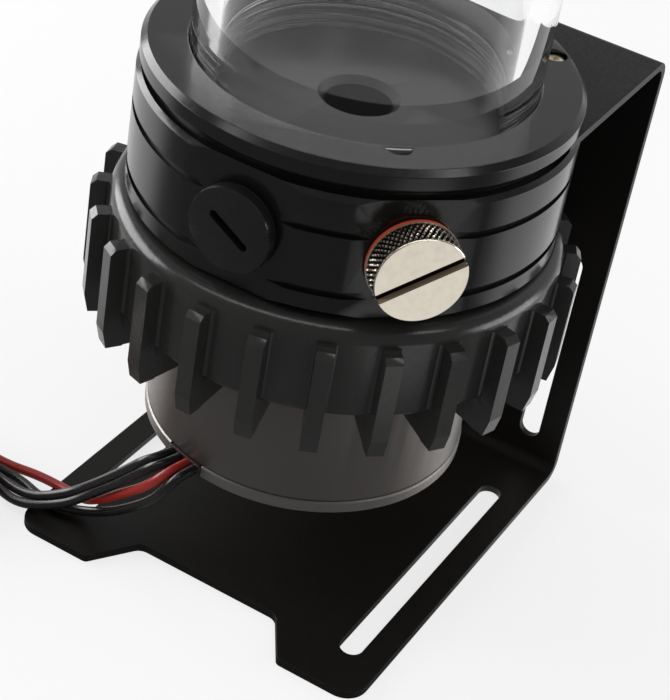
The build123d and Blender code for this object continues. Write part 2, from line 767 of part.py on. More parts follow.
def make_coil():
    """Outer shape of the four coiled leads, with the flat strips that run in and out."""
    inner = min(coil_radii.values()) - coil_margin
    outer = max(coil_radii.values()) + coil_margin
    high = coil_exit_z + lead_radius
    width = outer - inner
    solid = hoop(inner, outer, coil_base, high)
    solid += Pos(0, inner, coil_base) * Box(coil_entry, width, 2 * lead_radius,
                                            align=(Align.MIN, Align.MIN, Align.MIN))
    solid += Pos(-inner, 0, high) * Box(width, coil_exit, 2 * lead_radius,
                                        align=(Align.MAX, Align.MAX, Align.MAX))
    return Pos(*coil_middle, 0) * solid


def make_tie():
    """Band round the coil's section."""
    inner = min(coil_radii.values()) - coil_margin - 2 * seat_gap
    outer = max(coil_radii.values()) + coil_margin + seat_gap
    low = coil_base - seat_gap / 2
    high = coil_exit_z + lead_radius + seat_gap
    hole = Box(outer - inner, 2 * tie_width, high - low)
    band = Box(outer - inner + 2 * tie_sheet, tie_width, high - low + 2 * tie_sheet)
    band = fillet(band.edges().filter_by(Axis.Y), tie_sheet)
    place = Pos(*coil_middle, 0) * Rot(0, 0, tie_angle) * Pos((inner + outer) / 2, 0, (low + high) / 2)
    return place * (band - hole)


def make_connector(size, middle):
    """Moulded housing for two leads, with an open socket at its far end."""
    width, length, height = size
    solid = fillet(Box(width, length, height).edges().filter_by(Axis.Y), connector_edge)
    socket = Box(width - 2 * socket_wall, connector_socket_depth, height - 2 * socket_wall)
    solid -= Pos(0, -length / 2, 0) * socket
    return Pos(middle, connector_face - length / 2, height / 2) * solid


def make_parts():
    front_place = facing(front_angle, port_height, flat_distance)
    side_place = facing(side_angle, port_height, flat_distance)
    fill_place = Pos(-cap_port_spread / 2, 0, cap_high)
    coin_seal = make_plug_seal(coin_head_radius - seal_recess, coin_seal_height)
    front_seal = make_plug_seal(front_head_radius - front_seal_recess, front_seal_height)
    coin_plug = make_coin_plug()
    tube_middle = (tube_radius + tube_inner) / 2
    parts = {
        "bracket": make_bracket(),
        "lock_ring": make_lock_ring(),
        "ring_screws": make_ring_screws(),
        "reservoir_tube": make_tube(),
        "tube_seal": o_ring(tube_middle, seal_section, socket_floor),
        "pump_top": make_pump_top(),
        "front_plug": front_place * make_front_plug(),
        "front_plug_seal": front_place * front_seal,
        "side_plug": side_place * coin_plug,
        "side_plug_seal": side_place * coin_seal,
        "union_nut": make_union_nut(),
        "flange_seal": o_ring((chamber_radius + spigot_radius) / 2, flange_seal_section, spigot_end),
        "motor_can": make_motor_can(),
        "motor_cover": make_motor_cover(),
        "lead_grommet": make_grommet(),
        "separating_bowl": make_bowl(),
        "bearing_post": make_post(),
        "bearing_ball": make_ball(),
        "bearing_cup": make_bearing_cup(),
        "rotor_magnet": make_rotor_magnet(),
        "impeller": make_impeller(),
        "stator_core": make_stator_core(),
        "stator_windings": make_windings(),
        "control_board": make_board(),
        "top_cap": make_cap(),
        "cap_collar": make_collar(),
        "cap_screws": make_cap_screws(),
        "cap_seal": o_ring(tube_middle, seal_section, tube_high),
        "fill_plug": fill_place * coin_plug,
        "fill_plug_seal": fill_place * coin_seal,
        "lead_coil": make_coil(),
        "lead_tie": make_tie(),
        "power_connector": make_connector(power_size, power_middle),
        "signal_connector": make_connector(signal_size, signal_middle),
    }
    for name in lead_routes:
        parts["lead_" + name] = make_lead(name)
        parts["tail_" + name] = make_tail(name)
    return parts


os.makedirs("parts", exist_ok=True)
for node, shape in make_parts().items():
    export_step(shape, "parts/" + node + ".step")
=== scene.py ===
from math import atan2, cos, degrees, hypot, pi, radians, sin

import bmesh
import bpy
from mathutils import Matrix, Vector


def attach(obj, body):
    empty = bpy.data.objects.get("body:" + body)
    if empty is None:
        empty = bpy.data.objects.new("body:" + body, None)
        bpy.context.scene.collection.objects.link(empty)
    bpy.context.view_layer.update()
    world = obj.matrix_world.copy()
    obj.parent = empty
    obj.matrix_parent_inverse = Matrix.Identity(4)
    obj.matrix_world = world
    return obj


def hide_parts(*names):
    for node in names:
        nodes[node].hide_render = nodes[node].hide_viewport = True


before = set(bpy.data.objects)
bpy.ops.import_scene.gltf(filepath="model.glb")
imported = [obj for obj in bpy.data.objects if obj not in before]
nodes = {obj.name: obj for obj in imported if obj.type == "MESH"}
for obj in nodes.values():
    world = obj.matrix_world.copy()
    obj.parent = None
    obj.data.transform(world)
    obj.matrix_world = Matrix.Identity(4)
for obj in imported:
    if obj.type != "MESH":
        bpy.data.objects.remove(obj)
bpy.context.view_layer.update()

# A pump and tube reservoir on a folded bracket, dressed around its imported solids.
# Lengths are written in millimetres and turned into metres by mm.

scene = bpy.context.scene
scene.view_settings.view_transform = "Standard"
mm = 0.001

# Sizes that the pieces share with the solids
tube_radius = 30.0
tube_inner = 25.0
tube_low = 91.6
tube_high = 241.6
cap_high = 251.1
ring_top = 101.1
ring_bore = 30.1
flat_distance = 36.9
port_height = 84.3
port_radius = 6.5
side_angle = -45.0
fill_port_x = -13.0
lead_diameter = 1.9
lead_angle = -105.6


# Camera

def aim_camera():
    """Stands the camera where the photograph was taken from."""
    azimuth = radians(24.22)
    elevation = radians(35.148)
    roll = radians(10.588)
    target = Vector((30.144, -57.593, 85.654)) * mm
    distance = 298.0 * mm
    back = Vector((sin(azimuth) * cos(elevation), -cos(azimuth) * cos(elevation), sin(elevation)))
    right = Vector((cos(azimuth), sin(azimuth), 0))
    up = back.cross(right)
    turned_right = right * cos(roll) + up * sin(roll)
    turned_up = up * cos(roll) - right * sin(roll)
    place = Matrix((turned_right, turned_up, back)).transposed().to_4x4()
    place.translation = target + back * distance
    lens = bpy.data.cameras.new("photo_camera")
    lens.sensor_width = 36
    lens.lens = 104.559
    lens.clip_start = 0.01
    lens.clip_end = 20
    camera = bpy.data.objects.new("photo_camera", lens)
    camera.matrix_world = place
    scene.collection.objects.link(camera)
    scene.camera = camera


# Node helpers

def add_node(tree, kind, **settings):
    node = tree.nodes.new(kind)
    for key, value in settings.items():
        setattr(node, key, value)
    return node


def join(tree, source, target):
    tree.links.new(source, target)


def surface_group():
    """Fine grain, soft clouds and sparse specks, shared by the finishes."""
    group = bpy.data.node_groups.new("surface_marks", "ShaderNodeTree")
    face = group.interface
    face.new_socket("Vector", in_out="INPUT", socket_type="NodeSocketVector")
    for label, value in (("Grain Scale", 900.0), ("Cloud Scale", 40.0), ("Speck Scale", 500.0)):
        socket = face.new_socket(label, in_out="INPUT", socket_type="NodeSocketFloat")
        socket.default_value = value
    for label in ("Grain", "Cloud", "Speck"):
        face.new_socket(label, in_out="OUTPUT", socket_type="NodeSocketFloat")
    entry = add_node(group, "NodeGroupInput")
    leave = add_node(group, "NodeGroupOutput")
    grain = add_node(group, "ShaderNodeTexNoise")
    grain.inputs["Detail"].default_value = 3
    cloud = add_node(group, "ShaderNodeTexNoise")
    cloud.inputs["Detail"].default_value = 2
    cells = add_node(group, "ShaderNodeTexVoronoi")
    speck = add_node(group, "ShaderNodeMapRange")
    speck.inputs["From Min"].default_value = 0.12
    speck.inputs["From Max"].default_value = 0.04
    for texture, label in ((grain, "Grain Scale"), (cloud, "Cloud Scale"), (cells, "Speck Scale")):
        join(group, entry.outputs["Vector"], texture.inputs["Vector"])
        join(group, entry.outputs[label], texture.inputs["Scale"])
    join(group, cells.outputs["Distance"], speck.inputs["Value"])
    join(group, grain.outputs["Fac"], leave.inputs["Grain"])
    join(group, cloud.outputs["Fac"], leave.inputs["Cloud"])
    join(group, speck.outputs["Result"], leave.inputs["Speck"])
    return group


def slot_group():
    """Masks of a plug's head: Slot is 1 on the walls of its slot, Knurl is 1 below its knurl's points."""
    group = bpy.data.node_groups.new("slot_shade", "ShaderNodeTree")
    face = group.interface
    for label in ("Vector", "Centre", "Across", "Outward"):
        face.new_socket(label, in_out="INPUT", socket_type="NodeSocketVector")
    for label in ("Half Width", "Rim", "Floor", "Knurl Rim", "Knurl Low", "Knurl High"):
        face.new_socket(label, in_out="INPUT", socket_type="NodeSocketFloat")
    for label in ("Slot", "Knurl"):
        face.new_socket(label, in_out="OUTPUT", socket_type="NodeSocketFloat")
    entry = add_node(group, "NodeGroupInput")
    leave = add_node(group, "NodeGroupOutput")
    offset = add_node(group, "ShaderNodeVectorMath", operation="SUBTRACT")
    join(group, entry.outputs["Vector"], offset.inputs[0])
    join(group, entry.outputs["Centre"], offset.inputs[1])
    shares = []
    for label, limit in (("Across", "Half Width"), ("Outward", "Rim"), ("Outward", "Knurl Rim")):
        along = add_node(group, "ShaderNodeVectorMath", operation="DOT_PRODUCT")
        join(group, offset.outputs["Vector"], along.inputs[0])
        join(group, entry.outputs[label], along.inputs[1])
        size = add_node(group, "ShaderNodeMath", operation="ABSOLUTE")
        join(group, along.outputs["Value"], size.inputs[0])
        below = add_node(group, "ShaderNodeMath", operation="LESS_THAN")
        join(group, size.outputs["Value"], below.inputs[0])
        join(group, entry.outputs[limit], below.inputs[1])
        shares.append(below)
    both = add_node(group, "ShaderNodeMath", operation="MULTIPLY")
    join(group, shares[0].outputs["Value"], both.inputs[0])
    join(group, shares[1].outputs["Value"], both.inputs[1])
    above = add_node(group, "ShaderNodeMath", operation="GREATER_THAN")
    join(group, size.outputs["Value"], above.inputs[0])
    join(group, entry.outputs["Floor"], above.inputs[1])
    walls = add_node(group, "ShaderNodeMath", operation="MULTIPLY")
    join(group, both.outputs["Value"], walls.inputs[0])
    join(group, above.outputs["Value"], walls.inputs[1])
    round_axis = add_node(group, "ShaderNodeVectorMath", operation="CROSS_PRODUCT")
    join(group, offset.outputs["Vector"], round_axis.inputs[0])
    join(group, entry.outputs["Outward"], round_axis.inputs[1])
    radius = add_node(group, "ShaderNodeVectorMath", operation="LENGTH")
    join(group, round_axis.outputs["Vector"], radius.inputs[0])
    sunk = add_node(group, "ShaderNodeMapRange")
    join(group, radius.outputs["Value"], sunk.inputs["Value"])
    join(group, entry.outputs["Knurl High"], sunk.inputs["From Min"])
    join(group, entry.outputs["Knurl Low"], sunk.inputs["From Max"])
    knurl = add_node(group, "ShaderNodeMath", operation="MULTIPLY")
    join(group, sunk.outputs["Result"], knurl.inputs[0])
    join(group, shares[2].outputs["Value"], knurl.inputs[1])
    join(group, walls.outputs["Value"], leave.inputs["Slot"])
    join(group, knurl.outputs["Value"], leave.inputs["Knurl"])
    return group


marks = surface_group()
slot_shade = slot_group()
# Painted shade on the plated plugs: a dull brownish colour on the slot's walls, and a near-black colour in
# the slot's floor and the knurl's grooves (the knurl's mask also takes in the shank).
slot_painted_shade = (0.30, 0.235, 0.165)
slot_metallic = 0.2
knurl_painted_shade = (0.03, 0.025, 0.02)


def finish(name, dark, light, rough, metallic=0.0, specular=0.5, grain=(900, 0.05, 0.02), cloud=40.0,
           speck=0.0, glint_colour=(0.3, 0.3, 0.3)):
    """Finish whose colour runs from dark to light in soft clouds, with grain in its gloss and bump.

    rough is a low and a high roughness; grain is its scale, bump strength and bump depth in millimetres;
    speck is how strongly sparse lighter specks, painted glints, show in their colour.
    """
    made = bpy.data.materials.new(name)
    made.use_nodes = True
    tree = made.node_tree
    shader = tree.nodes["Principled BSDF"]
    place = add_node(tree, "ShaderNodeTexCoord")
    surface = add_node(tree, "ShaderNodeGroup", node_tree=marks)
    join(tree, place.outputs["Object"], surface.inputs["Vector"])
    surface.inputs["Grain Scale"].default_value = grain[0]
    surface.inputs["Cloud Scale"].default_value = cloud
    colour = add_node(tree, "ShaderNodeMix", data_type="RGBA")
    colour.inputs["A"].default_value = (*dark, 1)
    colour.inputs["B"].default_value = (*light, 1)
    join(tree, surface.outputs["Cloud"], colour.inputs["Factor"])
    tint = colour.outputs["Result"]
    # Sparse specks lighter than the finish, painted into its colour as glints.
    if speck:
        glint_specked = add_node(tree, "ShaderNodeMix", data_type="RGBA")
        share = add_node(tree, "ShaderNodeMath", operation="MULTIPLY")
        share.inputs[1].default_value = speck
        join(tree, surface.outputs["Speck"], share.inputs[0])
        join(tree, share.outputs["Value"], glint_specked.inputs["Factor"])
        join(tree, tint, glint_specked.inputs["A"])
        glint_specked.inputs["B"].default_value = (*glint_colour, 1)
        tint = glint_specked.outputs["Result"]
    join(tree, tint, shader.inputs["Base Color"])
    gloss = add_node(tree, "ShaderNodeMapRange")
    gloss.inputs["From Min"].default_value = 0.3
    gloss.inputs["From Max"].default_value = 0.7
    gloss.inputs["To Min"].default_value = rough[0]
    gloss.inputs["To Max"].default_value = rough[1]
    join(tree, surface.outputs["Grain"], gloss.inputs["Value"])
    join(tree, gloss.outputs["Result"], shader.inputs["Roughness"])
    bump = add_node(tree, "ShaderNodeBump")
    bump.inputs["Strength"].default_value = grain[1]
    bump.inputs["Distance"].default_value = grain[2] * mm
    join(tree, surface.outputs["Grain"], bump.inputs["Height"])
    join(tree, bump.outputs["Normal"], shader.inputs["Normal"])
    shader.inputs["Metallic"].default_value = metallic
    shader.inputs["Specular IOR Level"].default_value = specular
    return made


def slotted(made, place, half_width, rim, floor, knurl):
    """Paints shade into a plug's head: the slot's walls get a dull, darker colour, and its floor and the
    knurl's grooves are darkened.

    The head stands at place with its slot from floor to rim above it; knurl is the knurl's rim, lowest and
    highest radius.
    """
    tree = made.node_tree
    shader = tree.nodes["Principled BSDF"]
    coordinates = next(node for node in tree.nodes if node.type == "TEX_COORD")
    shade = add_node(tree, "ShaderNodeGroup", node_tree=slot_shade)
    join(tree, coordinates.outputs["Object"], shade.inputs["Vector"])
    shade.inputs["Centre"].default_value = place.translation
    shade.inputs["Across"].default_value = place.col[1].to_3d()
    shade.inputs["Outward"].default_value = place.col[2].to_3d()
    lengths = {"Half Width": half_width, "Rim": rim, "Floor": floor, "Knurl Rim": knurl[0],
               "Knurl Low": knurl[1], "Knurl High": knurl[2]}
    for label, length in lengths.items():
        shade.inputs[label].default_value = length * mm
    # Paints shade: the knurl's grooves and the slot's floor go near-black, then the slot's walls a dull
    # brownish shade.
    for label, colour in (("Knurl", knurl_painted_shade), ("Slot", slot_painted_shade)):
        darker = add_node(tree, "ShaderNodeMix", data_type="RGBA")
        join(tree, shade.outputs[label], darker.inputs["Factor"])
        join(tree, shader.inputs["Base Color"].links[0].from_socket, darker.inputs["A"])
        darker.inputs["B"].default_value = (*colour, 1)
        join(tree, darker.outputs["Result"], shader.inputs["Base Color"])
    dull = add_node(tree, "ShaderNodeMapRange")
    dull.inputs["To Min"].default_value = 1.0
    dull.inputs["To Max"].default_value = slot_metallic
    join(tree, shade.outputs["Slot"], dull.inputs["Value"])
    join(tree, dull.outputs["Result"], shader.inputs["Metallic"])
    return made


def rougher_inside(made, radius, rough):
    """Gives the parts of a turned piece that lie inside a radius a milled, duller surface."""
    tree = made.node_tree
    shader = tree.nodes["Principled BSDF"]
    coordinates = next(node for node in tree.nodes if node.type == "TEX_COORD")
    flat = add_node(tree, "ShaderNodeVectorMath", operation="MULTIPLY")
    flat.inputs[1].default_value = (1, 1, 0)
    join(tree, coordinates.outputs["Object"], flat.inputs[0])
    length = add_node(tree, "ShaderNodeVectorMath", operation="LENGTH")
    join(tree, flat.outputs["Vector"], length.inputs[0])
    inside = add_node(tree, "ShaderNodeMath", operation="LESS_THAN")
    inside.inputs[1].default_value = radius * mm
    join(tree, length.outputs["Value"], inside.inputs[0])
    duller = add_node(tree, "ShaderNodeMix")
    join(tree, inside.outputs["Value"], duller.inputs["Factor"])
    join(tree, shader.inputs["Roughness"].links[0].from_socket, duller.inputs["A"])
    duller.inputs["B"].default_value = rough
    join(tree, duller.outputs["Result"], shader.inputs["Roughness"])
    return made


def nickel_finish(name):
    return finish(name, (0.80, 0.73, 0.62), (0.86, 0.79, 0.67), (0.14, 0.22), metallic=1.0,
                  grain=(700, 0.05, 0.01), cloud=120)


def acetal_finish(name):
    return finish(name, (0.0045, 0.0045, 0.0042), (0.006, 0.006, 0.0056), (0.16, 0.22), specular=0.5,
                  grain=(1300, 0.02, 0.01), cloud=60)


def clear_finish():
    """Clear acrylic: smooth, with faint polishing marks."""
    made = finish("clear_acrylic", (0.985, 0.99, 0.99), (1, 1, 1), (0.0, 0.012), grain=(300, 0.01, 0.01))
    shader = made.node_tree.nodes["Principled BSDF"]
    shader.inputs["Transmission Weight"].default_value = 1
    shader.inputs["IOR"].default_value = 1.49
    return made


finishes = {
    "black_sheet": finish("black_sheet", (0.005, 0.0042, 0.0037), (0.0072, 0.006, 0.005), (0.40, 0.50),
                          specular=0.22, grain=(1600, 0.12, 0.02), cloud=30),
    "black_acetal": acetal_finish("black_acetal"),
    # The moulding's lighter specks are painted glints.
    "black_moulding": finish("black_moulding", (0.016, 0.016, 0.0154), (0.027, 0.027, 0.0257), (0.16, 0.27),
                             specular=0.5, grain=(1300, 0.4, 0.04), cloud=70, speck=0.2,
                             glint_colour=(0.1, 0.1, 0.1)),
    "black_gloss": finish("black_gloss", (0.006, 0.006, 0.006), (0.009, 0.009, 0.009), (0.22, 0.3),
                          specular=0.5, grain=(800, 0.06, 0.02), cloud=90),
    "clear_acrylic": clear_finish(),
    "nickel": nickel_finish("nickel"),
    "steel": finish("steel", (0.52, 0.52, 0.52), (0.62, 0.62, 0.61), (0.2, 0.32), metallic=1.0,
                    grain=(900, 0.05, 0.01)),
    "red_rubber": finish("red_rubber", (0.46, 0.062, 0.022), (0.54, 0.082, 0.030), (0.4, 0.55), specular=0.3,
                         grain=(900, 0.1, 0.02)),
    "black_rubber": finish("black_rubber", (0.012, 0.012, 0.012), (0.018, 0.018, 0.018), (0.45, 0.6),
                           grain=(900, 0.15, 0.03)),
    "can_grey": finish("can_grey", (0.175, 0.161, 0.151), (0.205, 0.191, 0.180), (0.32, 0.40), metallic=0.9,
                       grain=(900, 0.05, 0.01), cloud=50),
    "cover_grey": finish("cover_grey", (0.200, 0.188, 0.177), (0.240, 0.225, 0.214), (0.32, 0.40),
                         metallic=0.8, grain=(900, 0.08, 0.02), cloud=50),
    "grommet_plum": finish("grommet_plum", (0.030, 0.012, 0.016), (0.045, 0.018, 0.022), (0.4, 0.55),
                           grain=(900, 0.12, 0.02)),
    "lead_black": finish("lead_black", (0.006, 0.006, 0.006), (0.012, 0.012, 0.012), (0.22, 0.34),
                         grain=(500, 0.06, 0.03), cloud=60),
    "lead_red": finish("lead_red", (0.24, 0.012, 0.008), (0.33, 0.020, 0.012), (0.26, 0.4),
                       grain=(500, 0.06, 0.03), cloud=60),
    "ceramic": finish("ceramic", (0.78, 0.76, 0.72), (0.85, 0.83, 0.80), (0.15, 0.25)),
    "carbon": finish("carbon", (0.02, 0.02, 0.022), (0.035, 0.035, 0.037), (0.35, 0.5)),
    "magnet": finish("magnet", (0.05, 0.048, 0.046), (0.08, 0.075, 0.07), (0.4, 0.55), metallic=0.4),
    "impeller_blue": finish("impeller_blue", (0.035, 0.085, 0.20), (0.045, 0.11, 0.25), (0.3, 0.42)),
    "laminations": finish("laminations", (0.25, 0.25, 0.26), (0.34, 0.34, 0.35), (0.35, 0.5), metallic=0.9),
    "copper": finish("copper", (0.48, 0.18, 0.07), (0.62, 0.26, 0.11), (0.25, 0.38), metallic=0.9),
    "board_green": finish("board_green", (0.012, 0.075, 0.03), (0.018, 0.10, 0.045), (0.3, 0.45)),
    "connector_white": finish("connector_white", (0.70, 0.68, 0.62), (0.78, 0.76, 0.70), (0.3, 0.42),
                              grain=(700, 0.06, 0.02)),
}


# Stage: pale floor and soft studio light, with its lengths in metres

bright_side = radians(106)
dim_level = 0.16
soft_level = 0.5
paper_white_share = 0.75
card_place = (0.152, -0.079, 0)
card_core = 0.035
card_edge = 0.075
card_level = 0.85
pump_middle = Vector((0, 0, 0.08))
floor_reach = 3.0
floor_drop = 0.1 * mm


def studio_fade(tree, vector, low, high, most):
    """Brightness that reflections find: light behind and beside the object, dim on the camera's side."""
    split = add_node(tree, "ShaderNodeSeparateXYZ")
    join(tree, vector, split.inputs["Vector"])
    across = add_node(tree, "ShaderNodeMath", operation="MULTIPLY")
    across.inputs[1].default_value = cos(bright_side)
    join(tree, split.outputs["X"], across.inputs[0])
    along = add_node(tree, "ShaderNodeMath", operation="MULTIPLY_ADD")
    along.inputs[1].default_value = sin(bright_side)
    join(tree, split.outputs["Y"], along.inputs[0])
    join(tree, across.outputs["Value"], along.inputs[2])
    fade = add_node(tree, "ShaderNodeMapRange", interpolation_type="SMOOTHSTEP")
    fade.inputs["From Min"].default_value = low
    fade.inputs["From Max"].default_value = high
    fade.inputs["To Min"].default_value = dim_level
    fade.inputs["To Max"].default_value = most
    join(tree, along.outputs["Value"], fade.inputs["Value"])
    return fade.outputs["Result"]


def card_glow(tree, vector):
    """Brightness of a white card that lies on the floor to the right and shows in the plated plug."""
    away = add_node(tree, "ShaderNodeVectorMath", operation="DISTANCE")
    away.inputs[1].default_value = card_place
    join(tree, vector, away.inputs[0])
    glow = add_node(tree, "ShaderNodeMapRange", interpolation_type="SMOOTHSTEP")
    glow.inputs["From Min"].default_value = card_edge
    glow.inputs["From Max"].default_value = card_core
    glow.inputs["To Max"].default_value = card_level
    join(tree, away.outputs["Value"], glow.inputs["Value"])
    return glow.outputs["Result"]


def make_world():
    """Soft light all round, white to the camera and through the tube, with a bright side in reflections."""
    world = bpy.data.worlds.new("studio")
    world.use_nodes = True
    scene.world = world
    tree = world.node_tree
    tree.nodes.clear()
    leave = add_node(tree, "ShaderNodeOutputWorld")
    path = add_node(tree, "ShaderNodeLightPath")
    place = add_node(tree, "ShaderNodeTexCoord")
    soft = add_node(tree, "ShaderNodeBackground")
    soft.inputs["Strength"].default_value = soft_level
    mirrored = add_node(tree, "ShaderNodeBackground")
    sky = studio_fade(tree, place.outputs["Generated"], low=0.25, high=0.7, most=0.55)
    join(tree, sky, mirrored.inputs["Strength"])
    white = add_node(tree, "ShaderNodeBackground")
    for light in (soft, mirrored, white):
        light.inputs["Color"].default_value = (1, 1, 1, 1)
    with_mirrored = add_node(tree, "ShaderNodeMixShader")
    join(tree, path.outputs["Is Glossy Ray"], with_mirrored.inputs["Fac"])
    join(tree, soft.outputs["Background"], with_mirrored.inputs[1])
    join(tree, mirrored.outputs["Background"], with_mirrored.inputs[2])
    seen = add_node(tree, "ShaderNodeMath", operation="MAXIMUM")
    join(tree, path.outputs["Is Camera Ray"], seen.inputs[0])
    join(tree, path.outputs["Is Transmission Ray"], seen.inputs[1])
    whole = add_node(tree, "ShaderNodeMixShader")
    join(tree, seen.outputs["Value"], whole.inputs["Fac"])
    join(tree, with_mirrored.outputs["Shader"], whole.inputs[1])
    join(tree, white.outputs["Background"], whole.inputs[2])
    join(tree, whole.outputs["Shader"], leave.inputs["Surface"])


def floor_finish():
    """Paper that is white to the camera and through the tube, with a bright side in reflections."""
    made = bpy.data.materials.new("pale_paper")
    made.use_nodes = True
    tree = made.node_tree
    tree.nodes.clear()
    leave = add_node(tree, "ShaderNodeOutputMaterial")
    path = add_node(tree, "ShaderNodeLightPath")
    place = add_node(tree, "ShaderNodeTexCoord")
    paper = add_node(tree, "ShaderNodeBsdfDiffuse")
    paper.inputs["Color"].default_value = (0.84, 0.84, 0.84, 1)
    white = add_node(tree, "ShaderNodeEmission")
    mirrored = add_node(tree, "ShaderNodeEmission")
    brightest = add_node(tree, "ShaderNodeMath", operation="MAXIMUM")
    ground = studio_fade(tree, place.outputs["Object"], low=-0.03, high=0.025, most=1.0)
    join(tree, ground, brightest.inputs[0])
    join(tree, card_glow(tree, place.outputs["Object"]), brightest.inputs[1])
    join(tree, brightest.outputs["Value"], mirrored.inputs["Strength"])
    lit = add_node(tree, "ShaderNodeMixShader")
    lit.inputs["Fac"].default_value = paper_white_share
    join(tree, paper.outputs["BSDF"], lit.inputs[1])
    join(tree, white.outputs["Emission"], lit.inputs[2])
    before = paper.outputs["BSDF"]
    for ray, shown in (("Is Camera Ray", lit.outputs["Shader"]),
                       ("Is Glossy Ray", mirrored.outputs["Emission"]),
                       ("Is Transmission Ray", white.outputs["Emission"])):
        chosen = add_node(tree, "ShaderNodeMixShader")
        join(tree, path.outputs[ray], chosen.inputs["Fac"])
        join(tree, before, chosen.inputs[1])
        join(tree, shown, chosen.inputs[2])
        before = chosen.outputs["Shader"]
    join(tree, before, leave.inputs["Surface"])
    return made


def make_floor():
    shape = bmesh.new()
    bmesh.ops.create_grid(shape, x_segments=1, y_segments=1, size=floor_reach)
    bmesh.ops.translate(shape, verts=shape.verts[:], vec=(0, 0, -floor_drop))
    mesh = bpy.data.meshes.new("floor")
    shape.to_mesh(mesh)
    shape.free()
    mesh.materials.append(floor_finish())
    floor = bpy.data.objects.new("floor", mesh)
    scene.collection.objects.link(floor)


def soft_light(name, place, width, height, power):
    """Softbox that looks at the middle of the pump."""
    data = bpy.data.lights.new(name, "AREA")
    data.shape = "RECTANGLE"
    data.size = width
    data.size_y = height
    data.energy = power
    lamp = bpy.data.objects.new(name, data)
    away = Vector(place) - pump_middle
    lamp.matrix_world = away.to_track_quat("Z", "Y").to_matrix().to_4x4()
    lamp.location = place
    lamp.visible_transmission = False
    scene.collection.objects.link(lamp)


# Leads

lead_spacing = 2.05
lead_exit_radius = 30.2
lead_exit_height = 26.4
lead_straight = 3.0
coil_middle = (-68.0, -40.0)
coil_low = 1.65
coil_pitch = 1.95
coil_turns = 5.25
coil_entry_x = (-47.5, -52.5)
way_out_y = (-55.5, -60.0, -63.75, -67.5, -72.0)     # from the coil to the connectors
points_a_turn = 16
coil_radii = {"red": 14.0, "black_c": 12.0, "black_a": 10.0, "black_b": 8.0}
lead_steps = {"black_a": -1.5, "black_b": -0.5, "red": 0.5, "black_c": 1.5}
lead_ends = {"black_a": (-74.3, 3.0), "black_b": (-71.7, 3.0), "red": (-85.5, 3.5), "black_c": (-81.5, 3.5)}
lead_middles = {
    "black_a": [(-14.2, -32.9, 25.2), (-17.0, -32.6, 21.8), (-21.0, -31.7, 17.1), (-25.4, -30.8, 12.2),
                (-29.6, -31.0, 8.2), (-33.4, -32.0, 5.8), (-37.4, -32.6, 3.9), (-42.0, -32.0, 2.6)],
    "black_b": [(-12.1, -33.6, 25.3), (-15.4, -33.2, 21.6), (-19.8, -32.4, 16.2), (-24.7, -31.4, 11.0),
                (-29.0, -32.2, 6.8), (-32.8, -33.4, 4.7), (-36.9, -34.4, 3.1), (-41.6, -34.2, 2.0)],
    "red": [(-9.7, -35.0, 24.5), (-13.0, -34.0, 20.2), (-18.8, -31.8, 14.2), (-24.7, -29.6, 8.0),
            (-29.6, -27.3, 3.9), (-35.6, -25.9, 2.8), (-41.4, -25.6, 2.4)],
    "black_c": [(-7.2, -35.0, 24.4), (-10.4, -33.9, 18.8), (-15.9, -31.9, 12.6), (-22.2, -30.0, 6.6),
                (-28.2, -29.6, 3.2), (-32.8, -30.9, 2.8), (-37.6, -30.8, 2.8), (-42.6, -28.8, 2.2)],
}


def lead_points(name):
    """Route of a lead: out of the grommet, down to the floor, round the coil and into its connector."""
    angle = radians(lead_angle)
    across = lead_steps[name] * lead_spacing
    start = Vector((lead_exit_radius * cos(angle) - across * sin(angle),
                    lead_exit_radius * sin(angle) + across * cos(angle), lead_exit_height))
    out = start + Vector((cos(angle), sin(angle), 0)) * lead_straight
    radius = coil_radii[name]
    entry_y = coil_middle[1] + radius
    points = [start, out, *lead_middles[name]]
    points += [(entry_x, entry_y, coil_low) for entry_x in coil_entry_x]
    for step in range(int(coil_turns * points_a_turn) + 1):
        turn = step / points_a_turn
        swing = pi / 2 + 2 * pi * turn
        points.append((coil_middle[0] + radius * cos(swing), coil_middle[1] + radius * sin(swing),
                       coil_low + coil_pitch * turn))
    exit_x = coil_middle[0] - radius
    exit_z = coil_low + coil_pitch * coil_turns
    end_x, end_z = lead_ends[name]
    halfway = ((exit_x + end_x) / 2, (exit_z + end_z) / 2 + 1)
    way_out = [(exit_x, exit_z), (exit_x, exit_z), halfway, (end_x, end_z), (end_x, end_z)]
    points += [(x, y, z) for (x, z), y in zip(way_out, way_out_y)]
    return [Vector(point) * mm for point in points]


def make_lead(name):
    points = lead_points(name)
    curve = bpy.data.curves.new("wire_" + name, "CURVE")
    curve.dimensions = "3D"
    curve.bevel_depth = lead_diameter / 2 * mm
    curve.bevel_resolution = 5
    curve.resolution_u = 6
    curve.use_fill_caps = True
    spline = curve.splines.new("NURBS")
    spline.points.add(len(points) - 1)
    for target, point in zip(spline.points, points):
        target.co = (*point, 1)
    spline.order_u = 3
    spline.use_endpoint_u = True
    colour = "lead_red" if name == "red" else "lead_black"
    curve.materials.append(finishes[colour])
    wire = bpy.data.objects.new("wire_" + name, curve)
    scene.collection.objects.link(wire)
    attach(wire, "base")
    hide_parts("lead_" + name, "tail_" + name)
    return wire


# Mesh helpers

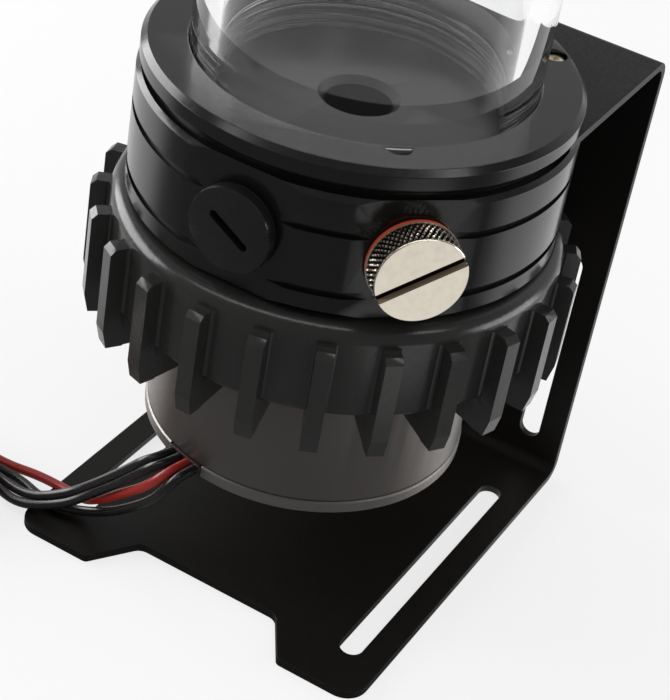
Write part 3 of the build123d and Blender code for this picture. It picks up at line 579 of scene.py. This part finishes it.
def lathe(shape, profile, steps=180, closed=True):
    """Spins pairs of radius and height round Z."""
    corners = [shape.verts.new((radius * mm, 0, height * mm)) for radius, height in profile]
    pairs = list(zip(corners, corners[1:]))
    if closed:
        pairs.append((corners[-1], corners[0]))
    edges = [shape.edges.new(pair) for pair in pairs]
    bmesh.ops.spin(shape, geom=corners + edges, cent=(0, 0, 0), axis=(0, 0, 1), angle=2 * pi, steps=steps,
                   use_merge=True)
    bmesh.ops.remove_doubles(shape, verts=shape.verts[:], dist=0.0005 * mm)
    bmesh.ops.recalc_face_normals(shape, faces=shape.faces[:])


def extrude(shape, face, way):
    """Draws a loose face out into a block and gives the corners of its far end."""
    drawn = bmesh.ops.extrude_face_region(shape, geom=[face])
    corners = [part for part in drawn["geom"] if isinstance(part, bmesh.types.BMVert)]
    bmesh.ops.translate(shape, verts=corners, vec=way)
    return corners


def settle(shape, name, slot, body, *replaced, smooth=35.0, dress=None):
    """Makes a mesh piece of a finished shape and seats it on its body."""
    mesh = bpy.data.meshes.new(name)
    shape.to_mesh(mesh)
    shape.free()
    mesh.shade_smooth()
    mesh.set_sharp_from_angle(angle=radians(smooth))
    mesh.materials.append(dress or finishes[slot])
    piece = bpy.data.objects.new(name, mesh)
    scene.collection.objects.link(piece)
    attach(piece, body)
    if replaced:
        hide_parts(*replaced)
    return piece


def facing(angle, height, distance):
    """Place on the pump's side: X to the right, Y up, Z outwards."""
    across = Vector((-sin(radians(angle)), cos(radians(angle)), 0))
    away = Vector((cos(radians(angle)), sin(radians(angle)), 0))
    place = Matrix((across, Vector((0, 0, 1)), away)).transposed().to_4x4()
    place.translation = (away * distance + Vector((0, 0, height))) * mm
    return place


def soft_edged(node, name, slot, body, width=0.2, segments=2, angle=32.0, reshape=None, dress=None):
    """A node's own shape with its sharp edges broken, as a machined or moulded piece has them."""
    shape = bmesh.new()
    shape.from_mesh(nodes[node].data)
    bmesh.ops.remove_doubles(shape, verts=shape.verts[:], dist=0.001 * mm)
    if reshape:
        reshape(shape)
    bmesh.ops.dissolve_limit(shape, angle_limit=radians(0.2), use_dissolve_boundaries=False,
                             verts=shape.verts[:], edges=shape.edges[:], delimit={"NORMAL"})
    piece = settle(shape, name, slot, body, node, dress=dress)
    bevel = piece.modifiers.new("broken_edges", "BEVEL")
    bevel.width = width * mm
    bevel.segments = segments
    bevel.limit_method = "ANGLE"
    bevel.angle_limit = radians(angle)
    bevel.harden_normals = True
    bevel.use_clamp_overlap = True
    return piece


# Clamp ring

lead_in = 1.0
fine_lead_in = 0.25


def close_on_tube(shape):
    """Draws the ring's lead-in chamfer up to a hair, so that its edge closes on the tube."""
    for corner in shape.verts:
        x, y, z = corner.co / mm
        radius = hypot(x, y)
        if radius > ring_bore + lead_in + 0.01 or z < ring_top - lead_in - 0.01:
            continue
        share = (radius - ring_bore) / lead_in
        scale = (ring_bore + fine_lead_in * share) / radius
        corner.co.x *= scale
        corner.co.y *= scale
        corner.co.z = (ring_top - fine_lead_in * (1 - share)) * mm


# Union nut

fin_count = 24
fin_angle = -47.4
fin_half = 1.3           # half thickness in the solid
fin_seen_half = 1.5      # half thickness here
fin_foot = 49.0
fin_tip_shift = 0.9
fin_root_radius = 38.0
fin_tip_radius = 41.0
skirt_low = 55.0
plate_half = 1.45
plate_inner = 33.2
plate_low = 49.8
plate_top = skirt_low + 0.5
plate_profile = [(fin_tip_radius, fin_foot + 0.05), (plate_inner, plate_low), (plate_inner, plate_top),
                 (fin_tip_radius, plate_top)]


def fill_out_fins(shape):
    """Gives the fins their full thickness and tips, and the plates that run in under the nut."""
    step = 360 / fin_count
    for corner in shape.verts:
        x, y, z = corner.co / mm
        number = round((degrees(atan2(y, x)) - fin_angle) / step)
        turn = Matrix.Rotation(radians(fin_angle + number * step), 3, "Z")
        place = turn.inverted() @ Vector((x, y, z))
        if place.x < fin_root_radius:
            continue
        if abs(abs(place.y) - fin_half) < 0.02:
            place.y *= fin_seen_half / fin_half
        if place.x > fin_tip_radius and z < fin_foot + 0.01:
            place.x += fin_tip_shift
        corner.co = turn @ place * mm
    for number in range(fin_count):
        turn = Matrix.Rotation(radians(fin_angle + number * step), 3, "Z")
        outline = [turn @ Vector((x, -plate_half, z)) * mm for x, z in plate_profile]
        side = shape.faces.new([shape.verts.new(point) for point in outline])
        corners = extrude(shape, side, turn @ Vector((0, 2 * plate_half, 0)) * mm)
        faces = {face for corner in corners for face in corner.link_faces}
        bmesh.ops.recalc_face_normals(shape, faces=[side, *faces])


# Clear tube

thread_pitch = 1.6
thread_depth = 0.8
lower_thread = (91.6, 101.0)
upper_thread = (231.2, 241.6)
plain_rows = (0.02, 0.4)  # rows beside a thread that keep its slope off the plain wall


def thread_cut(height, swing, span):
    """How deep a rounded thread lies below the surface at a place."""
    low, high = span
    if not low <= height <= high:
        return 0.0
    phase = (height / thread_pitch - swing / (2 * pi)) % 1.0
    wave = (1 - cos(2 * pi * phase)) / 2
    run_out = min(1.0, (height - low) / thread_pitch + 0.4, 2 * (high - height) / thread_pitch)
    return thread_depth * wave ** 0.8 * run_out


def make_clear_tube():
    edge = 0.5
    heights = [tube_low + edge]
    for low, high in (lower_thread, upper_thread):
        count = int((high - low) / thread_pitch * 12)
        heights += [low + (high - low) * step / count for step in range(count + 1)]
        heights += [low - guard for guard in plain_rows] + [high + guard for guard in plain_rows]
    heights.append(tube_high - edge)
    wall = (tube_low + edge, tube_high - edge)
    heights = sorted({round(height, 3) for height in heights if wall[0] <= height <= wall[1]})
    profile = [(tube_inner, tube_low), (tube_radius - edge, tube_low)]
    profile += [(tube_radius, height) for height in heights]
    profile += [(tube_radius - edge, tube_high), (tube_inner, tube_high)]
    shape = bmesh.new()
    lathe(shape, profile, steps=200)
    for corner in shape.verts:
        x, y, z = corner.co / mm
        if hypot(x, y) < tube_radius - 0.01:
            continue
        swing = atan2(y, x)
        cut = thread_cut(z, swing, lower_thread) + thread_cut(z, swing, upper_thread)
        corner.co.x *= 1 - cut / tube_radius
        corner.co.y *= 1 - cut / tube_radius
    return settle(shape, "clear_tube", "clear_acrylic", "base", "reservoir_tube", smooth=50)


# Plugs and screws

knurl_count = 50
knurl_stretch = 0.7
knurl_fade = 0.3
knurl_depth = 0.45
plug_pitch = 1.337
plug_thread_depth = 0.45
plug_end = -5.0
coin_slot_turn = 27.5
coin_slot_width = 1.9
coin_slot_depth = 1.4
coin_head_high = 6.1
moulded_slot_turn = -31.0
moulded_slot_length = 8.5
moulded_slot_width = 1.5
moulded_slot_depth = 1.7
socket_reach = 0.55      # of a screw head's radius
socket_floor = 0.35      # of a screw head's height


def prism(points, low, high):
    """Straight block over an outline of X and Y pairs."""
    shape = bmesh.new()
    base = shape.faces.new([shape.verts.new((x * mm, y * mm, low * mm)) for x, y in points])
    extrude(shape, base, Vector((0, 0, high - low)) * mm)
    bmesh.ops.recalc_face_normals(shape, faces=shape.faces[:])
    return shape


def round_ended(length, width, turn, steps=12):
    """Outline of a slot with round ends, turned by an angle in degrees."""
    reach = (length - width) / 2
    points = []
    for end, first in ((reach, -pi / 2), (-reach, pi / 2)):
        for step in range(steps + 1):
            swing = first + pi * step / steps
            points.append(Vector((end + width / 2 * cos(swing), width / 2 * sin(swing))))
    turned = Matrix.Rotation(radians(turn), 2)
    return [turned @ point for point in points]


def cut_out(piece, cutter, smooth=28.0):
    """Cuts a closed shape out of a piece's mesh."""
    mesh = bpy.data.meshes.new("cutter")
    cutter.to_mesh(mesh)
    cutter.free()
    block = bpy.data.objects.new("cutter", mesh)
    scene.collection.objects.link(block)
    cut = piece.modifiers.new("cut", "BOOLEAN")
    cut.operation = "DIFFERENCE"
    cut.solver = "EXACT"
    cut.object = block
    bpy.context.view_layer.update()
    cut_mesh = bpy.data.meshes.new_from_object(piece.evaluated_get(bpy.context.evaluated_depsgraph_get()))
    piece.modifiers.clear()
    piece.data = cut_mesh
    piece.data.set_sharp_from_angle(angle=radians(smooth))
    bpy.data.objects.remove(block)


def shank_profile(radius, high):
    """Rows of a plug's shank from its end up to a height, close enough together for its thread."""
    rows = 56
    profile = [(0, plug_end), (radius - 0.5, plug_end)]
    profile += [(radius, plug_end + 0.5 + (high - plug_end - 0.5) * row / rows) for row in range(rows + 1)]
    return profile


def cut_thread(shape, radius, high):
    """Presses the plug's V thread into its shank."""
    for corner in shape.verts:
        x, y, z = corner.co / mm
        if abs(hypot(x, y) - radius) > 0.001 or z > high + 0.001:
            continue
        phase = (z / plug_pitch - atan2(y, x) / (2 * pi)) % 1.0
        share = 1 - plug_thread_depth * abs(2 * phase - 1) / radius
        corner.co.x *= share
        corner.co.y *= share


def diamond(across, along):
    """Height of a diamond knurl, from 0 in its grooves to 1 at a point."""
    def ramp(value):
        return abs(2 * (value % 1.0) - 1)
    return min(ramp(across + along), ramp(across - along))


def make_coin_plug(name, node, body, place):
    """Plated plug with a knurled rim, a coin slot and a fine thread. Z points out, zero at the seat."""
    shank, head, low, high = port_radius, 7.95, 1.0, coin_head_high
    knurl_low, knurl_high = 1.3, 5.8
    shank_high = 0.8
    profile = shank_profile(shank, shank_high)
    profile += [(shank - 0.4, 0.85), (shank - 0.4, low), (head - 0.4, low), (head - 0.15, low + 0.15)]
    knurl_rows = 40
    knurl_span = knurl_high - knurl_low
    profile += [(head, knurl_low + knurl_span * row / knurl_rows) for row in range(knurl_rows + 1)]
    profile += [(head - 0.12, knurl_high + 0.06), (head - 0.16, high - 0.12), (head - 0.28, high), (0, high)]
    shape = bmesh.new()
    lathe(shape, profile, steps=10 * knurl_count, closed=False)
    cut_thread(shape, shank, shank_high)
    for corner in shape.verts:
        x, y, z = corner.co / mm
        radius = hypot(x, y)
        if radius < head - 0.01 or not knurl_low <= z <= knurl_high + 0.001:
            continue
        along = (z - knurl_low) / (2 * pi * head) * knurl_count * knurl_stretch
        lift = diamond(atan2(y, x) / (2 * pi) * knurl_count, along)
        fade = min(1.0, (z - knurl_low) / knurl_fade, (knurl_high - z) / knurl_fade)
        share = 1 - knurl_depth * (1 - lift * max(fade, 0)) / radius
        corner.co.x *= share
        corner.co.y *= share
    slot_turn = Matrix.Rotation(radians(coin_slot_turn), 4, "Z")
    knurl = (knurl_high + 0.1, head - 0.7 * knurl_depth, head - 0.2 * knurl_depth)
    dress = slotted(nickel_finish("nickel_" + name), place @ slot_turn, half_width=coin_slot_width / 2 + 0.02,
                    rim=high - 0.03, floor=high - coin_slot_depth + 0.05, knurl=knurl)
    piece = settle(shape, name, "nickel", body, node, smooth=28, dress=dress)
    half = coin_slot_width / 2
    slot = prism([(-3 * head, -half), (3 * head, -half), (3 * head, half), (-3 * head, half)],
                 high - coin_slot_depth, high + coin_slot_depth)
    bmesh.ops.transform(slot, matrix=slot_turn, verts=slot.verts[:])
    cut_out(piece, slot)
    piece.data.transform(place)
    return piece


def make_moulded_plug():
    """Black plug of the front port with a blind slot. Z points out, zero at the milled flat."""
    shank, head, low, high = port_radius - 0.1, 7.6, 0.7, 2.8
    profile = shank_profile(shank, low - 0.1)
    profile += [(shank - 0.3, low), (head - 0.1, low), (head, low + 0.1), (head, high - 0.4)]
    profile += [(head - 0.1, high - 0.12), (head - 0.38, high), (0, high)]
    shape = bmesh.new()
    lathe(shape, profile, steps=180, closed=False)
    cut_thread(shape, shank, low - 0.1)
    piece = settle(shape, "moulded_plug", "black_gloss", "front_stopper", "front_plug")
    outline = round_ended(moulded_slot_length, moulded_slot_width, moulded_slot_turn)
    cut_out(piece, prism(outline, high - moulded_slot_depth, high + moulded_slot_depth), smooth=35)
    piece.data.transform(facing(-90.0, port_height, flat_distance))
    return piece


def make_screws(name, node, places, seat, head, height, shank, length):
    """Set of small socket screws. The head stands on its seat, and its edge is rounded."""
    edge = 0.25
    profile = [(0, seat - length), (shank - 0.2, seat - length), (shank, seat - length + 0.2), (shank, seat)]
    profile += [(head, seat), (head, seat + height - edge), (head - 0.3 * edge, seat + height - 0.3 * edge)]
    profile += [(head - edge, seat + height), (0, seat + height)]
    shape = bmesh.new()
    lathe(shape, profile, steps=48, closed=False)
    piece = settle(shape, name, "nickel", "base", node)
    across = socket_reach * head
    corners = [(across * cos(pi * step / 3), across * sin(pi * step / 3)) for step in range(6)]
    cut_out(piece, prism(corners, seat + socket_floor * height, seat + 2 * height))
    several = bmesh.new()
    for x, y in places:
        one = piece.data.copy()
        one.transform(Matrix.Translation((x * mm, y * mm, 0)))
        several.from_mesh(one)
        bpy.data.meshes.remove(one)
    several.to_mesh(piece.data)
    several.free()
    piece.data.set_sharp_from_angle(angle=radians(28))
    return piece


def on_circle(radius, *angles):
    return [(radius * cos(radians(angle)), radius * sin(radians(angle))) for angle in angles]


# Building

node_slots = {
    "tube_seal": "black_rubber", "front_plug_seal": "black_rubber", "side_plug_seal": "red_rubber",
    "fill_plug_seal": "red_rubber", "cap_seal": "black_rubber", "flange_seal": "black_rubber",
    "ring_screws": "nickel", "motor_can": "can_grey", "motor_cover": "cover_grey",
    "lead_grommet": "grommet_plum",
    "separating_bowl": "steel", "bearing_post": "steel", "bearing_ball": "ceramic", "bearing_cup": "carbon",
    "rotor_magnet": "magnet", "impeller": "impeller_blue", "stator_core": "laminations",
    "stator_windings": "copper", "control_board": "board_green", "lead_tie": "black_gloss",
    "power_connector": "connector_white", "signal_connector": "black_gloss", "bracket": "black_sheet",
    "lock_ring": "black_acetal", "pump_top": "black_acetal", "union_nut": "black_moulding",
    "front_plug": "black_gloss", "top_cap": "black_acetal", "cap_collar": "black_acetal",
    "cap_screws": "nickel", "reservoir_tube": "clear_acrylic", "side_plug": "nickel", "fill_plug": "nickel",
}

aim_camera()
make_world()
make_floor()
soft_light("left_softbox", (-0.72, -0.05, 0.3), width=0.7, height=0.4, power=5.5)
soft_light("right_softbox", (0.62, 0.34, 0.16), width=0.5, height=0.3, power=1.8)
soft_light("top_softbox", (0.1, -0.25, 0.95), width=1.8, height=0.16, power=2.6)

for node, slot in node_slots.items():
    data = nodes[node].data
    data.materials.clear()
    data.materials.append(finishes[slot])

power_housing = soft_edged("power_connector", "power_housing", "connector_white", "base", width=0.25)
signal_housing = soft_edged("signal_connector", "signal_housing", "black_gloss", "base", width=0.25)
red_wire = make_lead("red")
make_lead("black_c")
make_lead("black_a")
make_lead("black_b")
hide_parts("lead_coil")

milled_acetal = rougher_inside(acetal_finish("milled_acetal"), radius=tube_inner + 0.5, rough=0.34)
make_clear_tube()
make_moulded_plug()
side_place = facing(side_angle, port_height, flat_distance)
fill_place = Matrix.Translation((fill_port_x * mm, 0, cap_high * mm))
make_coin_plug("coin_plug_side", "side_plug", "side_stopper", side_place)
make_coin_plug("coin_plug_fill", "fill_plug", "fill_stopper", fill_place)
make_screws("ring_screw_set", "ring_screws", on_circle(34.5, 45.9, 134.1), seat=99.2, head=1.75, height=1.3,
            shank=1.15, length=8.5)
make_screws("cap_screw_set", "cap_screws", on_circle(31.6, 45, 135, 225, 315), seat=249.6, head=1.35,
            height=1.2, shank=0.8, length=11.0)
soft_edged("cap_collar", "tube_collar", "black_acetal", "base", width=0.25)
soft_edged("bracket", "folded_bracket", "black_sheet", "base", width=0.15)
soft_edged("lock_ring", "clamp_ring", "black_acetal", "base", width=0.12, reshape=close_on_tube)
soft_edged("pump_top", "pump_body", "black_acetal", "base", width=0.12, dress=milled_acetal)
soft_edged("union_nut", "finned_nut", "black_moulding", "nut", width=0.3, segments=3, reshape=fill_out_fins)
soft_edged("top_cap", "end_cap", "black_acetal", "base", width=0.2)
soft_edged("motor_can", "drawn_can", "can_grey", "base", width=0.3)
soft_edged("motor_cover", "can_band", "cover_grey", "base", width=0.2)
soft_edged("lead_grommet", "lead_bush", "grommet_plum", "base", width=0.2)
soft_edged("lead_tie", "coil_tie", "black_gloss", "base", width=0.12)
